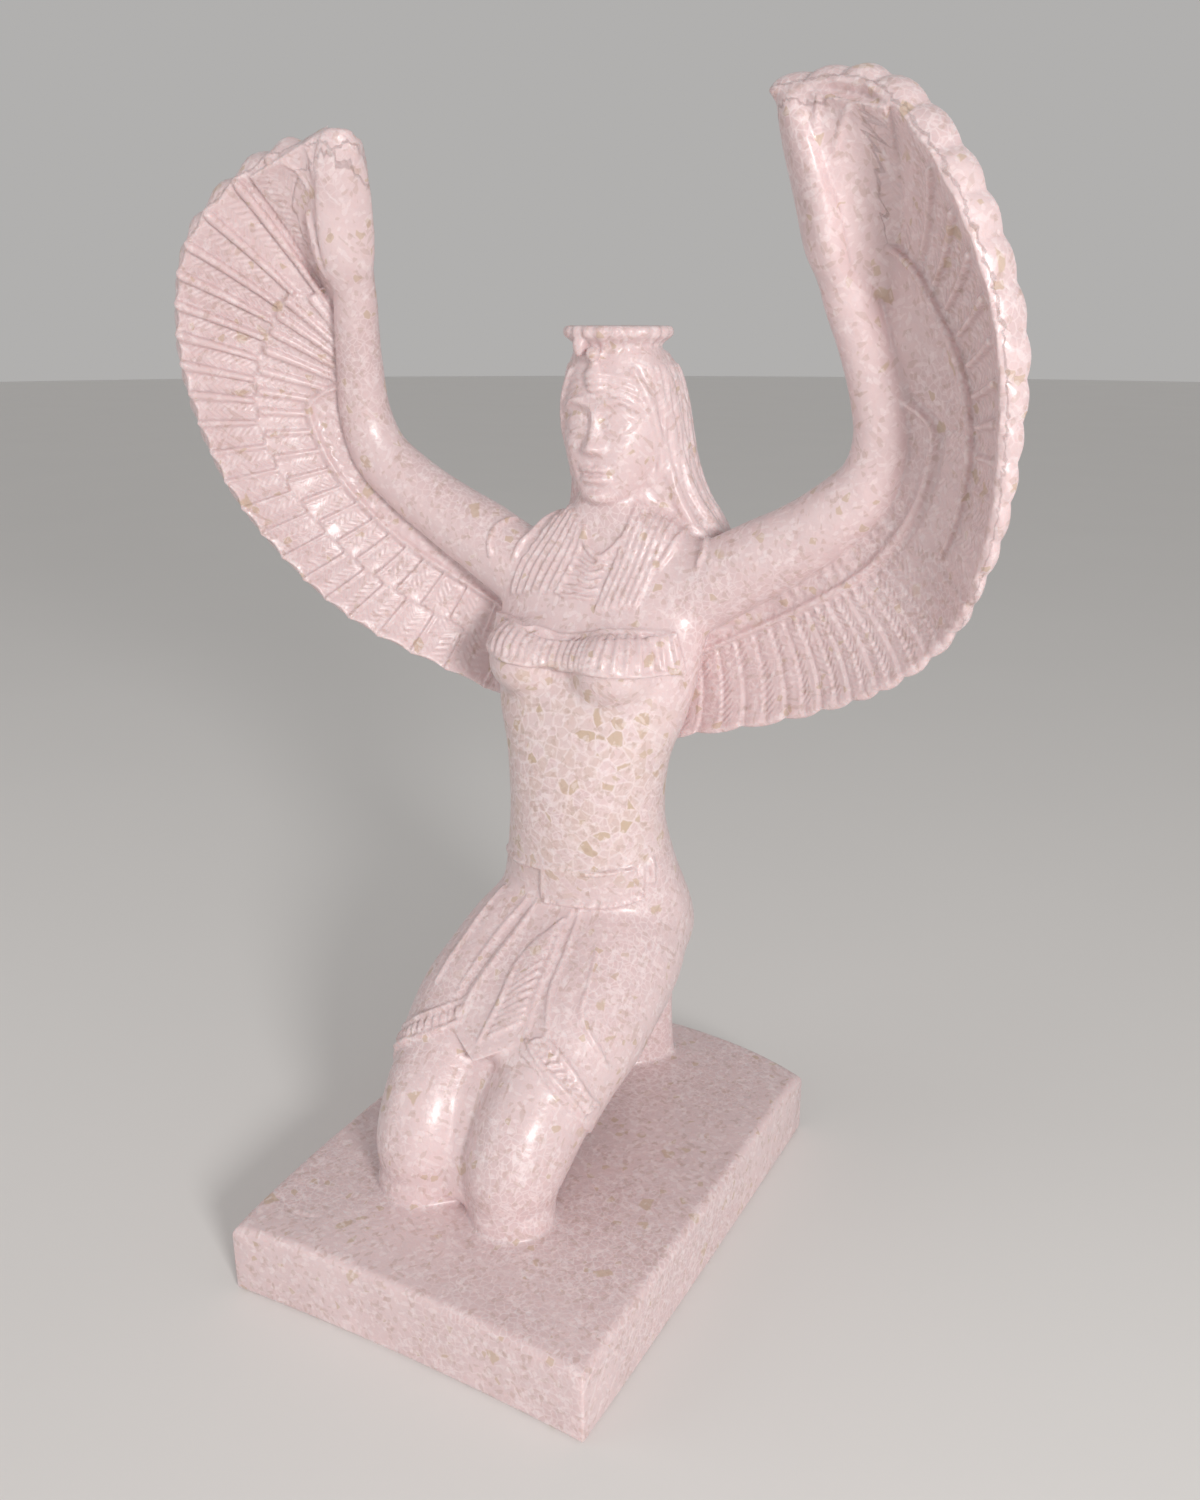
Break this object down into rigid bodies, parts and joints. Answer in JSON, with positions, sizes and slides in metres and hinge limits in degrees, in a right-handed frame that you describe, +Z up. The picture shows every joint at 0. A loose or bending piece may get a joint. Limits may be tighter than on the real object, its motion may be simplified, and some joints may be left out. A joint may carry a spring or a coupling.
{
  "type": "kneeling isis statue",
  "caption": "Kneeling winged goddess on a low rectangular plinth, arms raised along the spread wings, low fluted crown, long wig and pleated kilt; a shelf statue cast in one",
  "frame": {"origin": "middle of the bounding box on the flat underside of the plinth", "axes": "+Z up; the figure faces -Y and her left side is +X"},
  "size_m": [0.2546, 0.1654, 0.3273],
  "materials": {
    "shell_resin": "crushed shell in ivory pink resin, polished with a soft gloss"
  },
  "bodies": {
    "root": {"statue": "shell_resin"}
  },
  "joints": []
}
